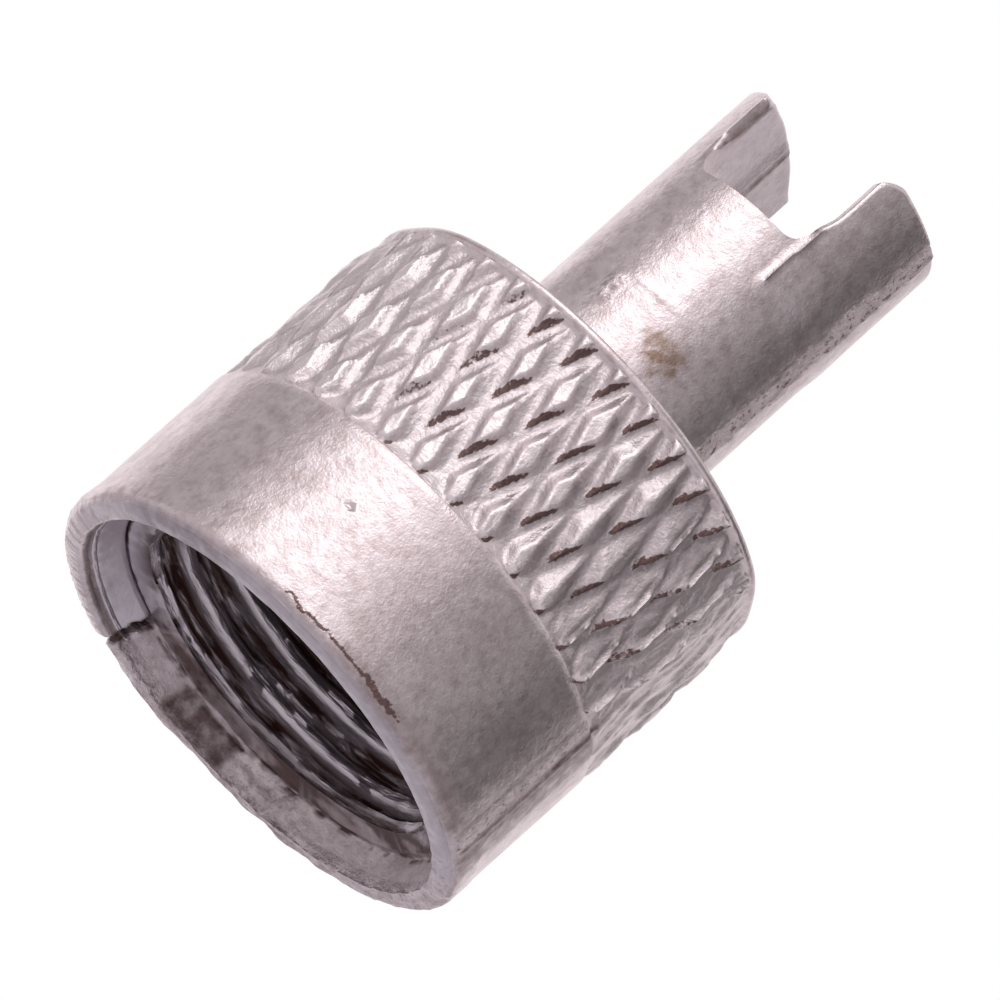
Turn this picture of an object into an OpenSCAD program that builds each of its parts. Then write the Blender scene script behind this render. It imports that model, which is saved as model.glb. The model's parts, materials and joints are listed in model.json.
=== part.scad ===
// Tyre valve cap. One die-cast piece has a plain skirt, a diamond-knurled grip
// and a slotted key on top, which turns the core of a tyre valve. A rubber ring
// lies at the blind end of the threaded mouth and seals against the valve's end.
// All lengths are in millimetres. The mouth's rim lies on z = 0 and the key
// points up. The mould parts along the plane y = 0, so the key's slot runs
// along y. The fine thread in the mouth isn't drawn: its hole has the diameter
// of the thread's crests.

/* [Skirt] */
// Outside diameter of the plain skirt
skirt_d = 10; // [9.6:0.1:12]
// Height of the plain skirt, from the rim to the knurl
skirt_h = 3.7; // [2.5:0.1:5]
// Rounding of the rim's outer edge
rim_round = 0.3; // [0.1:0.05:0.35]
// Bevel of the skirt's upper edge, under the knurl
skirt_bevel = 0.08; // [0.04:0.02:0.16]

/* [Mouth] */
// Diameter of the smooth land inside the rim
land_d = 8.7; // [8:0.05:8.9]
// Depth of the smooth land, from the rim to the thread
land_h = 0.75; // [0.4:0.05:1.5]
// Bevel of the land's edge at the rim
land_bevel = 0.1; // [0.05:0.05:0.15]
// Diameter of the threaded hole, over the crests of its thread
thread_d = 7; // [6.4:0.05:7.5]
// Length of the threaded wall
thread_h = 5; // [3:0.1:5.5]
// Thickness of metal over the blind end of the hole
end_wall = 1; // [0.6:0.1:2]

/* [Knurl] */
// How far the diamonds stand out past the skirt
knurl_proud = 0.06; // [0.02:0.01:0.2]
// Depth of the grooves between the diamonds
knurl_depth = 0.3; // [0.1:0.02:0.4]
// Number of diamonds in one row round the cap
knurl_count = 36; // [24:4:48]
// Height of one diamond, from groove crossing to groove crossing
diamond_h = 2.65; // [1.6:0.05:4]
// Flat top of a diamond, as a share of its width and height
diamond_flat = 0.4; // [0.2:0.05:0.7]
// Height of the lowest row's middle above the skirt
row_rise = 0.49; // [0:0.01:1.2]
// Share of the knurl's relief that is lost where the mould parts
knurl_fade = 0.9; // [0:0.05:0.9]
// Thickness of the thin collar that closes the grooves at the shoulder
collar_h = 0.12; // [0.06:0.02:0.4]

/* [Key] */
// Diameter of the key's stem
stem_d = 4.72; // [4.2:0.02:6]
// Height of the stem, from the shoulder to the prongs' tips
stem_h = 7.4; // [5:0.1:10]
// Fillet between the stem and the shoulder
stem_fillet = 0.3; // [0.1:0.05:0.6]
// Rounding of the prongs' outer edge at the tip
tip_round = 0.2; // [0.05:0.05:0.4]
// Width of the slot between the prongs
slot_w = 2.58; // [2:0.02:3]
// Depth of the slot, from the prongs' tips
slot_depth = 2.45; // [1:0.05:4]
// Fillet at the foot of the slot's walls
slot_fillet = 0.5; // [0.2:0.05:0.9]
// Bevel of each prong's upright edges beside the slot
prong_bevel = 0.2; // [0.05:0.05:0.3]
// Sideways step between the two mould halves, seen inside the slot
mould_step = 0.1; // [0.02:0.02:0.2]
// Depth of the corner that the metal didn't fill, on one prong
short_corner = 0.35; // [0.05:0.05:0.6]

/* [Rim crack] */
// Where the crack crosses the rim, in degrees from the x axis
crack_angle = 151; // [0:1:359]
// Width of the crack
crack_w = 0.14; // [0.05:0.01:0.3]
// Depth of the crack, from the rim
crack_h = 0.45; // [0.1:0.05:0.7]

/* [Seal ring] */
// Thickness of the rubber ring
seal_h = 1.2; // [0.6:0.1:2]
// Diameter of the hole in the ring
seal_hole_d = 2.6; // [1.5:0.1:4.5]
// Diameter over the roots of the thread, where the ring sits
seal_seat_d = 7.74; // [7.6:0.02:8]
// Space between the ring and its seat, at the ring's edge and under it
seal_gap = 0.05; // [0.02:0.01:0.1]

/* [Hidden] */
$fn = 96;
// How far a cut runs past the face that it opens
past = 0.5;

skirt_r = skirt_d / 2;
land_r = land_d / 2;
thread_r = thread_d / 2;
seal_seat_r = seal_seat_d / 2;
stem_r = stem_d / 2;

// Heights of the steps inside the mouth
thread_end = land_h + thread_h;
blind_end = thread_end + seal_gap + seal_h;
shoulder_z = blind_end + end_wall;
tip_z = shoulder_z + stem_h;
slot_floor = tip_z - slot_depth;

// The knurl's tops, groove floors, and the round core that carries them
knurl_r = skirt_r + knurl_proud;
groove_r = knurl_r - knurl_depth;
core_r = groove_r - 0.1;
band_inner_r = core_r - 0.15;
band_top = shoulder_z - collar_h;
half_row = diamond_h / 2;
pitch = 360 / knurl_count;
row_low = floor(-row_rise / half_row - 0.01);
row_high = ceil((band_top - skirt_h - row_rise) / half_row + 0.01);

// A point at a radius, an angle and a height
function polar(r, a, z) = [r * cos(a), r * sin(a), z];
// Height of the middle of a row of diamonds
function row_z(j) = skirt_h + row_rise + j * half_row;
// Angle of the first diamond in a row: rows stand half a pitch apart
function row_turn(j) = (j % 2 == 0) ? 0 : pitch / 2;
// How far the tops sink and the grooves rise at an angle, most on the x axis,
// because there the mould's halves couldn't be drawn off deep diamonds
function fade(a) = knurl_fade * knurl_depth / 2 * pow(abs(cos(a)), 3);
function groove_point(a, z) = polar(groove_r + fade(a), a, z);
function top_point(a, z) = polar(knurl_r - fade(a), a, z);

// Waste outside a quarter round that fits in the corner at the origin
module corner_waste(r) {
    difference() {
        translate([-r, -r]) square(2 * r);
        translate([-r, -r]) circle(r);
        translate([-3 * r, -2 * r]) square([2 * r, 4 * r]);
        translate([-2 * r, -3 * r]) square([4 * r, 2 * r]);
    }
}

// Skirt, core, collar and stem, turned round the cap's axis
module turned_blank() {
    rotate_extrude() {
        difference() {
            square([skirt_r, skirt_h]);
            translate([skirt_r, 0]) mirror([0, 1]) corner_waste(rim_round);
            translate([skirt_r, skirt_h]) rotate(45)
                square(skirt_bevel * sqrt(2), center = true);
        }
        square([core_r, shoulder_z]);
        translate([0, band_top]) square([skirt_r, collar_h]);
        difference() {
            square([stem_r, tip_z]);
            translate([stem_r, tip_z]) corner_waste(tip_round);
        }
        translate([stem_r, shoulder_z]) difference() {
            square(stem_fillet);
            translate([stem_fillet, stem_fillet]) circle(stem_fillet);
        }
    }
}

// Ring of whole diamonds, a little taller than the knurled band. Each diamond has
// four corners where grooves cross, and a smaller flat top of the same shape.
module diamond_ring() {
    n = knurl_count;
    // Groove crossings, from one level under the lowest row to one over the highest
    crossings = [for (j = [row_low - 1 : row_high + 1], k = [0 : n - 1])
        groove_point(k * pitch + row_turn(j + 1), row_z(j))];
    tops = [for (j = [row_low : row_high], k = [0 : n - 1])
        for (corner = [[-1, 0], [0, 1], [1, 0], [0, -1]])
            top_point(k * pitch + row_turn(j) + corner[0] * diamond_flat * pitch / 2,
                      row_z(j) + corner[1] * diamond_flat * half_row)];
    // Inner wall under the saw-toothed lower and upper ends, every half pitch
    inner = [for (end = [0, 1], h = [0 : 2 * n - 1])
        polar(band_inner_r, h * pitch / 2, row_z(end_level(end, h)))];
    first_top = len(crossings);
    first_inner = first_top + len(tops);

    // Level of the saw-toothed end at half pitch h, at the lower or the upper end
    function end_level(end, h) = end == 0
        ? row_low - (is_middle(row_low, h) ? 1 : 0)
        : row_high + (is_middle(row_high, h) ? 1 : 0);
    // Whether half pitch h lies on the middle of a diamond of row j
    function is_middle(j, h) = (h % 2 == 0) == (j % 2 == 0);
    function crossing(j, k) = (j - row_low + 1) * n + (k + n) % n;
    function left_of(j, k) = crossing(j, j % 2 == 0 ? k - 1 : k);
    function right_of(j, k) = crossing(j, j % 2 == 0 ? k : k + 1);
    function top(j, k, c) = first_top + ((j - row_low) * n + k) * 4 + c;
    function at_end(end, h) = crossing(end_level(end, h), floor((h % (2 * n)) / 2));
    function inner_at(end, h) = first_inner + end * 2 * n + h % (2 * n);

    diamonds = [for (j = [row_low : row_high], k = [0 : n - 1])
        let (corner = [left_of(j, k), crossing(j + 1, k), right_of(j, k), crossing(j - 1, k)])
        for (c = [0 : 3])
            let (d = (c + 1) % 4)
            for (face = [[corner[c], corner[d], top(j, k, d)],
                         [corner[c], top(j, k, d), top(j, k, c)]]) face];
    flats = [for (j = [row_low : row_high], k = [0 : n - 1])
        for (face = [[0, 1, 3], [1, 2, 3]]) [for (c = face) top(j, k, c)]];
    lower_end = [for (h = [0 : 2 * n - 1])
        for (face = [[at_end(0, h), at_end(0, h + 1), inner_at(0, h + 1)],
                     [at_end(0, h), inner_at(0, h + 1), inner_at(0, h)]]) face];
    upper_end = [for (h = [0 : 2 * n - 1])
        for (face = [[at_end(1, h + 1), at_end(1, h), inner_at(1, h)],
                     [at_end(1, h + 1), inner_at(1, h), inner_at(1, h + 1)]]) face];
    inner_wall = [for (h = [0 : 2 * n - 1])
        for (face = [[inner_at(0, h), inner_at(0, h + 1), inner_at(1, h + 1)],
                     [inner_at(0, h), inner_at(1, h + 1), inner_at(1, h)]]) face];
    polyhedron(points = concat(crossings, tops, inner),
               faces = concat(diamonds, flats, lower_end, upper_end, inner_wall));
}

// The diamonds, cut off level at the skirt and at the collar
module knurl_band() {
    intersection() {
        diamond_ring();
        translate([0, 0, skirt_h]) cylinder(r = knurl_r + past, h = band_top - skirt_h);
    }
}

// Everything that is open inside the mouth
module mouth() {
    translate([0, 0, -past]) cylinder(r = land_r, h = past + land_h);
    rotate_extrude() polygon([
        [0, -land_bevel],
        [land_r + 2 * land_bevel, -land_bevel],
        [land_r, land_bevel],
        [0, land_bevel],
    ]);
    cylinder(r = thread_r, h = thread_end);
    translate([0, 0, thread_end]) cylinder(r = seal_seat_r, h = blind_end - thread_end);
}

// Slot with filleted foot, as seen along y, open at the top
module slot_outline() {
    difference() {
        translate([-slot_w / 2, slot_floor]) square([slot_w, slot_depth + past]);
        for (side = [-1, 1])
            translate([side * slot_w / 2, slot_floor]) mirror([side < 0 ? 1 : 0, 0])
                mirror([0, 1]) corner_waste(slot_fillet);
    }
}

// The slot: the mould half behind y = 0 sits a little to one side
module key_slot() {
    reach = stem_r + past;
    rotate([90, 0, 0]) linear_extrude(reach) slot_outline();
    translate([-mould_step, reach, 0]) rotate([90, 0, 0]) linear_extrude(reach) slot_outline();
}

// Bevels of the prongs' upright edges, and the corner that the metal didn't fill
module prong_edges() {
    edge_y = sqrt(pow(stem_r, 2) - pow(slot_w / 2, 2));
    cut = prong_bevel * sqrt(2);
    for (side = [-1, 1], end = [-1, 1])
        translate([side * slot_w / 2 - (end > 0 ? mould_step : 0), end * edge_y, slot_floor])
            rotate([0, 0, 45])
                translate([-cut / 2, -cut / 2, 0]) cube([cut, cut, slot_depth + past]);
    translate([-slot_w / 2, -edge_y, tip_z])
        rotate([0, 0, atan2(edge_y, slot_w / 2)])
            rotate([0, 45, 0]) cube(short_corner * sqrt(2), center = true);
}

// Crack across the rim
module rim_crack() {
    rotate([0, 0, crack_angle])
        translate([land_r - past, -crack_w / 2, -past])
            cube([skirt_r - land_r + 2 * past, crack_w, crack_h + past]);
}

// The cap: skirt, knurled grip and slotted key in one casting
module cap_body() {
    color("silver") difference() {
        union() {
            turned_blank();
            knurl_band();
        }
        mouth();
        key_slot();
        prong_edges();
        rim_crack();
    }
}

// Rubber ring at the blind end of the mouth
module seal_ring() {
    color("dimgray") translate([0, 0, blind_end - seal_h]) difference() {
        cylinder(r = seal_seat_r - seal_gap, h = seal_h);
        translate([0, 0, -past]) cylinder(d = seal_hole_d, h = seal_h + 2 * past);
    }
}

cap_body();
seal_ring();
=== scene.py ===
"""Tyre valve cap: plated die-cast zinc with a knurled grip, a slotted key and a rubber seal.

Shapes are made in millimetres round the cap's axis and scaled to metres at the end. Angles are in
degrees from the x axis. The mould parted on the plane y = 0, so its seams run up the cap at 0 and
180. A share is a number from 0 to 1. In the calls of grain, a bare whole number picks the patch of
noise, so that no two marks have the same pattern.
"""
import json
import math
import random

import bmesh
import bpy
from mathutils import Matrix, Vector, noise


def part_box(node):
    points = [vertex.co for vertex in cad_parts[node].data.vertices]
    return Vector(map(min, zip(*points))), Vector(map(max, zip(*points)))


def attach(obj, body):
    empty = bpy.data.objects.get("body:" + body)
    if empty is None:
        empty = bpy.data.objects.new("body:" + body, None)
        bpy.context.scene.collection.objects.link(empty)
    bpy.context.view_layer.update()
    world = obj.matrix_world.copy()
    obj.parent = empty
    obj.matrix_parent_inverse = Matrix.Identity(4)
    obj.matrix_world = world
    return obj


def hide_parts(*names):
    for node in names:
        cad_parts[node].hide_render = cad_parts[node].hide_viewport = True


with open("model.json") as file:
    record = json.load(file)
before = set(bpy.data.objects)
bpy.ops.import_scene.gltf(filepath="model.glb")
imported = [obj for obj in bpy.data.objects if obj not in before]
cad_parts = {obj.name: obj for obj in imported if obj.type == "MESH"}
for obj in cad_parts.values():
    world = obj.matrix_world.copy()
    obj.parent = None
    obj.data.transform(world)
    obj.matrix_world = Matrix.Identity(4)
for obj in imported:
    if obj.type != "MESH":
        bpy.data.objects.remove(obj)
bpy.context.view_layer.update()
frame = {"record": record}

MM = 0.001
BODY_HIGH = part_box("cap_body")[1]
RING_LOW, RING_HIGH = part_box("seal_ring")
MOUNTS = {mount["name"]: mount for mount in frame["record"]["mounts"]}

# Skirt and mouth
SKIRT_R = 5.0
SKIRT_TOP = 3.7
LAND_R = 4.35
LAND_TOP = 0.75
LAND_FLARE = 0.11
STEP_R = 4.05
CREST_R = MOUNTS["valve_thread"]["dims"]["r_mm"]
ROOT_R = 3.87
THREAD_PITCH = 25.4 / 32
THREAD_TOP = LAND_TOP + MOUNTS["valve_thread"]["dims"]["length_mm"]
BLIND_TOP = RING_HIGH.z / MM
SHOULDER_Z = 8.0

# Knurl
KNURL_COUNT = 36
PITCH = 360 / KNURL_COUNT
DIAMOND_H = 2.65
ROW_MIDDLE = SKIRT_TOP + 0.49
KNURL_TOP_R = 5.06
KNURL_GROOVE_R = 4.77
TOP_FADE = 0.08
GROOVE_FADE = 0.1
GROOVE_EDGE = 0.41
STEPS_PER_DIAMOND = 16
ROW_STEP = DIAMOND_H / (2 * STEPS_PER_DIAMOND)
ROWS_BELOW = 5
ROWS_ABOVE = 44
COLLAR_Z = 7.88
# What lies farther out than this is the casting's outer wall
OUTER_WALL_R = 4.5

# Key
STEM_R = 2.36
FILLET_R = 0.3
TIP_Z = BODY_HIGH.z / MM
SLOT_HALF = 1.29
SLOT_FLOOR = 12.95
# The fillet at the foot of the left and of the right prong
SLOT_FILLET = {-1: 0.35, 1: 0.37}
TIP_ROUND = 0.13
MOULD_STEP = 0.1

# The meshes' fineness, and the narrow strips of the stem's grid on both sides of the slot's walls
WALL_STRIP = 0.14
STRIP_COLUMNS = 2
SLOT_STRIP = 0.1
SLOT_COLUMNS = 22
PRONG_COLUMNS = 30
HALF_ROWS = 11
THREAD_STEPS = 192
# Gap in height between two parts of the casting, which a ring of faces closes
RING_GAP = 0.02

# The photograph's viewpoint: the direction to the camera, the turn of the picture, and its scale
CAMERA_TURN = -64.0
CAMERA_RISE = -19.2
PICTURE_ROLL = 42.0
CAMERA_AWAY = 427.5
PIXELS_PER_MM = 54.2
PICTURE_PIXELS = 1000
AXIS_POINT = Vector((0, 0, 6.16))
AXIS_POINT_PIXEL = (494.0, 495.3)
SENSOR = 36.0

# Millimetres to a degree round the axis, on the skirt, the lip, the step, the thread and the stem
SKIRT_ARC = 0.087
LIP_ARC = 0.08
STEP_ARC = 0.07
THREAD_ARC = 0.061
STEM_ARC = 0.04


def smooth(x, start, end):
    """0 before start and 1 after end, with an even ease between them."""
    share = min(max((x - start) / (end - start), 0.0), 1.0)
    return share * share * (3 - 2 * share)


def hump(x, middle, half_width):
    """1 at the middle, easing to 0 at half_width on either side."""
    return 1 - smooth(abs(x - middle), 0, half_width)


def within(x, low, high, ease):
    """1 between low and high, easing to 0 outside them."""
    return smooth(x, low - ease, low) * (1 - smooth(x, high, high + ease))


def apart(a, b):
    """Signed angle from b to a, from -180 to 180 degrees."""
    return (a - b + 180) % 360 - 180


def turn_in_front(angle):
    """Signed angle from the side that faces the camera: positive to the right of the photograph."""
    return apart(angle, CAMERA_TURN)


def turn_behind(angle):
    """Signed angle from the side that faces away from the camera, which shows inside the mouth."""
    return apart(angle, CAMERA_TURN + 180)


def skirt_share(radius):
    """1 on the skirt's outside, 0 on the rim and inside it."""
    return smooth(radius, 4.8, 4.95)


def mouth_share(radius):
    """1 on the land and behind it, 0 on the rim and outside it."""
    return 1 - smooth(radius, 4.44, 4.5)


def thread_share(radius):
    """1 on the thread and behind it, 0 on the land and outside it."""
    return 1 - smooth(radius, 4.0, 4.1)


def stem_share(radius):
    """1 on the stem and its prongs, 0 on the shoulder."""
    return 1 - smooth(radius, 2.5, 2.7)


def grain(point, size, octaves=3):
    """Seeded rough noise, about -1 to 1, with features of the given size in mm."""
    return noise.fractal(Vector(point) / size, 1.0, 2.0, octaves)


# Building blocks

def wire(bm, corners):
    """A line of edges through corners, each given as radius, height and its number of edges."""
    verts = [bm.verts.new((radius, 0, height)) for radius, height, _ in corners]
    edges = [bm.edges.new(pair) for pair in zip(verts, verts[1:])]
    for edge, (_, _, pieces) in zip(edges, corners[1:]):
        if pieces > 1:
            bmesh.ops.subdivide_edges(bm, edges=[edge], cuts=pieces - 1)


def everything(bm):
    """All points, edges and faces."""
    return bm.verts[:] + bm.edges[:] + bm.faces[:]


def turn_round(bm, sectors, steps):
    """Turns a wire round the axis: one sector in small steps, and then copies of that sector."""
    share = 2 * math.pi / sectors
    axis = {"cent": (0, 0, 0), "axis": (0, 0, 1)}
    bmesh.ops.spin(bm, geom=everything(bm), angle=share, steps=steps, **axis)
    bmesh.ops.spin(bm, geom=everything(bm), angle=2 * math.pi - share, steps=sectors - 1,
                   use_duplicate=True, **axis)
    bmesh.ops.remove_doubles(bm, verts=bm.verts[:], dist=1e-4)


def add(whole, part):
    """Adds one bmesh to another."""
    mesh = bpy.data.meshes.new("part")
    part.to_mesh(mesh)
    part.free()
    whole.from_mesh(mesh)
    bpy.data.meshes.remove(mesh)


def bridge(bm, z, low_r, high_r):
    """Joins the two open rings that lie close to height z between two radii."""
    def lies_there(vert):
        return abs(vert.co.z - z) < 2 * RING_GAP and low_r < vert.co.xy.length < high_r
    rings = [edge for edge in bm.edges
             if edge.is_boundary and all(lies_there(vert) for vert in edge.verts)]
    bmesh.ops.bridge_loops(bm, edges=rings)


def piece_from(bm, name, materials, sharp=38):
    """Makes a bmesh in millimetres a smooth-shaded object in metres that rides on the part."""
    bmesh.ops.recalc_face_normals(bm, faces=bm.faces[:])
    bmesh.ops.scale(bm, vec=(MM, MM, MM), verts=bm.verts[:])
    mesh = bpy.data.meshes.new(name)
    bm.to_mesh(mesh)
    bm.free()
    mesh.polygons.foreach_set("use_smooth", [True] * len(mesh.polygons))
    mesh.set_sharp_from_angle(angle=math.radians(sharp))
    for material in materials:
        mesh.materials.append(material)
    piece = bpy.data.objects.new(name, mesh)
    bpy.context.scene.collection.objects.link(piece)
    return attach(piece, "root")


# The casting's plain forms

def follow_grooves(bm):
    """Splits the knurled band's quads along the nearest groove, so that no facet bridges it."""
    split = {"FIXED": [], "ALTERNATE": []}
    for face in bm.faces:
        middle = face.calc_center_median()
        if middle.xy.length < OUTER_WALL_R or not SKIRT_TOP < middle.z < COLLAR_Z:
            continue
        angle = math.degrees(math.atan2(middle.y, middle.x))
        first, third = face.verts[0].co, face.verts[2].co
        climbs = (third.z - first.z) * first.xy.cross(third.xy) > 0
        along_first = climbs == (nearest_flank(angle, middle.z) in (0, 2))
        split["FIXED" if along_first else "ALTERNATE"].append(face)
    for method, faces in split.items():
        bmesh.ops.triangulate(bm, faces=faces, quad_method=method)


def outer_shell():
    """Land, rim, skirt, knurled band and shoulder, from the thread's foot to near the stem."""
    bm = bmesh.new()
    wire(bm, [
        (STEP_R, LAND_TOP, 0),
        (LAND_R - LAND_FLARE, LAND_TOP, 4),
        (LAND_R + LAND_FLARE, 0.05, 10),
        (4.46, 0.0, 1),
        (4.68, 0.0, 4),
        (4.86, 0.04, 2),
        (4.965, 0.14, 2),
        (SKIRT_R, 0.26, 2),
        (SKIRT_R, 0.5, 4),
        (SKIRT_R, 3.63, 19),
        (4.94, SKIRT_TOP, 2),
        (4.9, ROW_MIDDLE - ROWS_BELOW * ROW_STEP, 1),
        (4.9, ROW_MIDDLE + ROWS_ABOVE * ROW_STEP, ROWS_BELOW + ROWS_ABOVE),
        (4.96, COLLAR_Z, 1),
        (4.99, 7.91, 1),
        (4.99, 7.96, 1),
        (4.96, SHOULDER_Z, 1),
        (4.3, SHOULDER_Z, 3),
    ])
    turn_round(bm, KNURL_COUNT, STEPS_PER_DIAMOND)
    follow_grooves(bm)
    return bm


def thread():
    """One turn of a right-handed thread, copied up the hole and cut off level at both ends."""
    half_crest = 0.09
    flank = 0.21
    first_crest = 1.3 - 2 * THREAD_PITCH
    turns = 8
    bm = bmesh.new()
    wire(bm, [
        (CREST_R, first_crest, 0),
        (CREST_R, first_crest + half_crest, 1),
        (ROOT_R, first_crest + half_crest + flank, 3),
        (ROOT_R, first_crest + THREAD_PITCH - half_crest - flank, 2),
        (CREST_R, first_crest + THREAD_PITCH - half_crest, 3),
        (CREST_R, first_crest + THREAD_PITCH, 1),
    ])
    rise = THREAD_PITCH / THREAD_STEPS
    bmesh.ops.spin(bm, geom=everything(bm), cent=(0, 0, 0), axis=(0, 0, 1), dvec=(0, 0, rise),
                   angle=2 * math.pi, steps=THREAD_STEPS)
    one_turn = everything(bm)
    for turn in range(1, turns):
        copy = bmesh.ops.duplicate(bm, geom=one_turn)["geom"]
        verts = [item for item in copy if isinstance(item, bmesh.types.BMVert)]
        bmesh.ops.translate(bm, verts=verts, vec=(0, 0, turn * THREAD_PITCH))
    bmesh.ops.remove_doubles(bm, verts=bm.verts[:], dist=1e-3)
    for z, lower_goes in ((LAND_TOP + RING_GAP, True), (THREAD_TOP - RING_GAP, False)):
        bmesh.ops.bisect_plane(bm, geom=everything(bm), dist=1e-4, plane_co=(0, 0, z),
                               plane_no=(0, 0, 1), clear_inner=lower_goes,
                               clear_outer=not lower_goes)
    return bm


def blind_end():
    """The seal's seat and the closed end of the hole."""
    bm = bmesh.new()
    wire(bm, [
        (4.0, THREAD_TOP, 0),
        (ROOT_R + 0.05, THREAD_TOP + 0.06, 1),
        (ROOT_R, BLIND_TOP, 3),
        (0, BLIND_TOP, 4),
    ])
    turn_round(bm, THREAD_STEPS // 4, 4)
    return bm


def chord_place(column):
    """How far to the side of the slot's middle a column of the stem's grid lies."""
    side, count = math.copysign(1, column), abs(column)
    if count <= SLOT_COLUMNS:
        return side * (SLOT_HALF - SLOT_STRIP) * count / SLOT_COLUMNS
    past_wall = count - SLOT_COLUMNS - 1
    if past_wall <= STRIP_COLUMNS:
        return side * (SLOT_HALF + WALL_STRIP * past_wall / STRIP_COLUMNS)
    first = math.asin((SLOT_HALF + WALL_STRIP) / STEM_R)
    share = (past_wall - STRIP_COLUMNS) / PRONG_COLUMNS
    return side * STEM_R * math.sin(first + share * (math.pi / 2 - first))


def row_place(row):
    """Share of the half chord at which a row of the stem's grid lies: rows crowd at the seam."""
    side, count = math.copysign(1, row), abs(row)
    if count == 0:
        return 0.0
    return side * (0.015 if count == 1 else 0.1 + 0.9 * (count - 2) / (HALF_ROWS - 2))


def stem_disc(bm):
    """A round grid whose columns follow the slot's walls and whose rows follow the seam."""
    half_columns = SLOT_COLUMNS + 1 + STRIP_COLUMNS + PRONG_COLUMNS
    bmesh.ops.create_grid(bm, x_segments=2 * half_columns, y_segments=2 * HALF_ROWS, size=1)
    for vert in bm.verts:
        x = chord_place(round(vert.co.x * half_columns))
        y = row_place(round(vert.co.y * HALF_ROWS)) * math.sqrt(max(STEM_R ** 2 - x ** 2, 0))
        vert.co = (x, y, SHOULDER_Z + RING_GAP)
    bmesh.ops.remove_doubles(bm, verts=bm.verts[:], dist=1e-4)


def lift(bm, faces, height):
    """Extrudes faces straight up, and gives the raised faces and their corners."""
    raised = bmesh.ops.extrude_face_region(bm, geom=faces)["geom"]
    bmesh.ops.delete(bm, geom=faces, context="FACES")
    verts = [item for item in raised if isinstance(item, bmesh.types.BMVert)]
    bmesh.ops.translate(bm, verts=verts, vec=(0, 0, height))
    return [item for item in raised if isinstance(item, bmesh.types.BMFace)], verts


def lift_in_steps(bm, faces, height, steps):
    """Extrudes faces straight up in equal steps, and gives the raised faces."""
    for _ in range(steps):
        faces, _ = lift(bm, faces, height / steps)
    return faces


def round_tip(bm, faces, side):
    """Closes a prong with a rounded edge: each step rises less and draws in more."""
    middle = Vector((side * (SLOT_HALF + STEM_R) / 2, 0, 0))
    half_x = (STEM_R - SLOT_HALF) / 2
    half_y = math.sqrt(STEM_R ** 2 - SLOT_HALF ** 2)
    drawn = 0.0
    for step in range(1, 4):
        before, after = math.radians(30 * (step - 1)), math.radians(30 * step)
        faces, verts = lift(bm, faces, TIP_ROUND * (math.sin(after) - math.sin(before)))
        further = TIP_ROUND * (1 - math.cos(after))
        scale = [(half - further) / (half - drawn) for half in (half_x, half_y)]
        bmesh.ops.scale(bm, vec=(*scale, 1), space=Matrix.Translation(-middle), verts=verts)
        drawn = further


def key():
    """The stem with its foot fillet, the slot's floor and the two prongs."""
    bm = bmesh.new()
    stem_disc(bm)
    wide = (STEM_R + FILLET_R) / STEM_R
    bmesh.ops.scale(bm, vec=(wide, wide, 1), verts=bm.verts[:])
    faces, radius = bm.faces[:], STEM_R + FILLET_R
    for step in range(1, 5):
        before, after = math.radians(22.5 * (step - 1)), math.radians(22.5 * step)
        faces, verts = lift(bm, faces, (FILLET_R - RING_GAP) * (math.cos(before) - math.cos(after)))
        narrower = STEM_R + FILLET_R * (1 - math.sin(after))
        bmesh.ops.scale(bm, vec=(narrower / radius, narrower / radius, 1), verts=verts)
        radius = narrower
    for top, steps in ((9.4, 6), (10.46, 15), (11.8, 6), (SLOT_FLOOR, 11)):
        height = top - faces[0].verts[0].co.z
        faces = lift_in_steps(bm, faces, height, steps)
    prongs = {side: [face for face in faces if side * face.calc_center_median().x > SLOT_HALF]
              for side in (-1, 1)}
    for side, prong in prongs.items():
        prong = lift_in_steps(bm, prong, TIP_Z - TIP_ROUND - SLOT_FLOOR, 12)
        round_tip(bm, prong, side)
    return bm


def plain_casting():
    """All of the casting as one closed skin, before its surface is worked."""
    bm = bmesh.new()
    for part in (outer_shell(), thread(), blind_end(), key()):
        add(bm, part)
    bridge(bm, LAND_TOP, 3.4, 4.2)
    bridge(bm, THREAD_TOP, 3.4, 4.2)
    bridge(bm, SHOULDER_Z, 2.5, 4.5)
    return bm


# How the surface departs from the plain form

random.seed(7)
# How each diamond differs: its height, its lean upward and sideways, and its flanks' width
DIAMONDS = {(column, row): [random.uniform(-1, 1) for _ in range(4)]
            for column in range(2 * KNURL_COUNT) for row in range(-2, 9)}


def chamfer(share):
    """0 below 0 and 1 above 1, with a straight slope between them and small rounds at both ends."""
    def bend(x):
        return max(x, 0.0) if abs(x) > 0.2 else (x + 0.2) ** 2 / 0.8
    return bend(share) - bend(share - 1)


def fade(angle):
    """Share of the relief that is lost near the seams, where the mould couldn't hold undercuts."""
    toward_seam = math.cos(math.radians(angle))
    return toward_seam ** 12 if toward_seam > 0 else abs(toward_seam) ** 2.5


def pull_turn(angle):
    """Signed angle from the direction in which the mould half round this point was drawn away."""
    return apart(angle, 90 if math.sin(math.radians(angle)) > 0 else -90)


def knurl_cell(angle, z):
    """Place in a diamond, from -0.5 to 0.5 between both pairs of grooves, and its number."""
    across = angle / PITCH
    up = (z - ROW_MIDDLE) / DIAMOND_H
    u, v = across + up + 0.5, across - up + 0.5
    i, j = math.floor(u), math.floor(v)
    return u - i - 0.5, v - j - 0.5, ((i + j) % (2 * KNURL_COUNT), i - j)


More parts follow.
